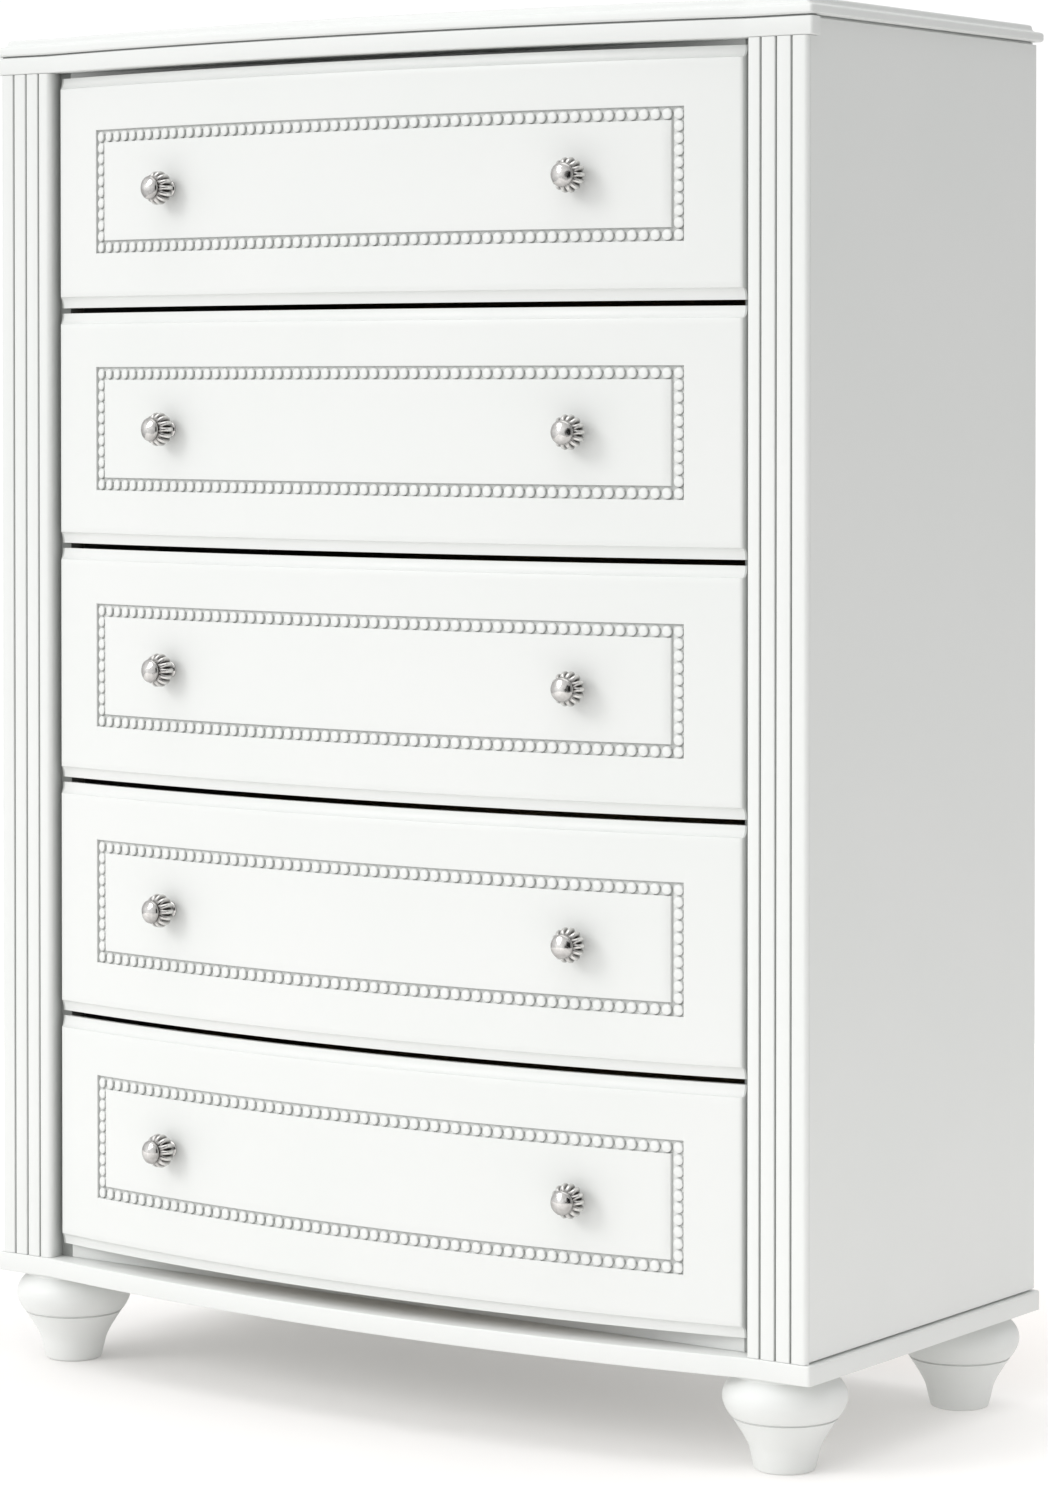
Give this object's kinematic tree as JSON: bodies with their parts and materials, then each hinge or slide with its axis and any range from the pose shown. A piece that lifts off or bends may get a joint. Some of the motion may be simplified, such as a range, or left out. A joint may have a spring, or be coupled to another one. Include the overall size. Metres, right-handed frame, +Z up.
{
  "type": "chest of drawers",
  "caption": "Tall painted chest of bow-front drawers between reeded pilasters, with bead-edged panels and metal knobs, on turned bun feet.",
  "frame": {"origin": "on the floor, under the middle of the chest's box", "axes": "+X to the viewer's right, -Y towards the front where the drawers open, +Z up"},
  "size_m": [0.93, 0.4638, 1.2861],
  "materials": {
    "white_paint": "satin white paint on wood",
    "drawer_wood": "clear-sealed pale wood",
    "back_board": "plain hardboard",
    "knob_metal": "polished cast metal"
  },
  "bodies": {
    "carcass": {"top_slab": "white_paint", "top_moulding": "white_paint", "top_rail": "white_paint", "left_side_panel": "white_paint", "right_side_panel": "white_paint", "back_panel": "back_board", "left_pilaster": "white_paint", "right_pilaster": "white_paint", "bottom_rail": "white_paint", "base_board": "white_paint", "foot_front_left": "white_paint", "foot_front_right": "white_paint", "foot_rear_left": "white_paint", "foot_rear_right": "white_paint", "runner_1_left": "drawer_wood", "runner_1_right": "drawer_wood", "runner_2_left": "drawer_wood", "runner_2_right": "drawer_wood", "runner_3_left": "drawer_wood", "runner_3_right": "drawer_wood", "runner_4_left": "drawer_wood", "runner_4_right": "drawer_wood", "runner_5_left": "drawer_wood", "runner_5_right": "drawer_wood"},
    "drawer_1": {"drawer_1_front": "white_paint", "drawer_1_side_left": "drawer_wood", "drawer_1_side_right": "drawer_wood", "drawer_1_back": "drawer_wood", "drawer_1_bottom": "drawer_wood", "drawer_1_knob_left": "knob_metal", "drawer_1_knob_right": "knob_metal"},
    "drawer_2": {"drawer_2_front": "white_paint", "drawer_2_side_left": "drawer_wood", "drawer_2_side_right": "drawer_wood", "drawer_2_back": "drawer_wood", "drawer_2_bottom": "drawer_wood", "drawer_2_knob_left": "knob_metal", "drawer_2_knob_right": "knob_metal"},
    "drawer_3": {"drawer_3_front": "white_paint", "drawer_3_side_left": "drawer_wood", "drawer_3_side_right": "drawer_wood", "drawer_3_back": "drawer_wood", "drawer_3_bottom": "drawer_wood", "drawer_3_knob_left": "knob_metal", "drawer_3_knob_right": "knob_metal"},
    "drawer_4": {"drawer_4_front": "white_paint", "drawer_4_side_left": "drawer_wood", "drawer_4_side_right": "drawer_wood", "drawer_4_back": "drawer_wood", "drawer_4_bottom": "drawer_wood", "drawer_4_knob_left": "knob_metal", "drawer_4_knob_right": "knob_metal"},
    "drawer_5": {"drawer_5_front": "white_paint", "drawer_5_side_left": "drawer_wood", "drawer_5_side_right": "drawer_wood", "drawer_5_back": "drawer_wood", "drawer_5_bottom": "drawer_wood", "drawer_5_knob_left": "knob_metal", "drawer_5_knob_right": "knob_metal"}
  },
  "joints": [
    {"name": "drawer_1_slide", "type": "slide", "parent": "carcass", "child": "drawer_1", "axis": [0, -1, 0], "range_m": [0, 0.28]},
    {"name": "drawer_2_slide", "type": "slide", "parent": "carcass", "child": "drawer_2", "axis": [0, -1, 0], "range_m": [0, 0.28]},
    {"name": "drawer_3_slide", "type": "slide", "parent": "carcass", "child": "drawer_3", "axis": [0, -1, 0], "range_m": [0, 0.28]},
    {"name": "drawer_4_slide", "type": "slide", "parent": "carcass", "child": "drawer_4", "axis": [0, -1, 0], "range_m": [0, 0.28]},
    {"name": "drawer_5_slide", "type": "slide", "parent": "carcass", "child": "drawer_5", "axis": [0, -1, 0], "range_m": [0, 0.28]}
  ]
}
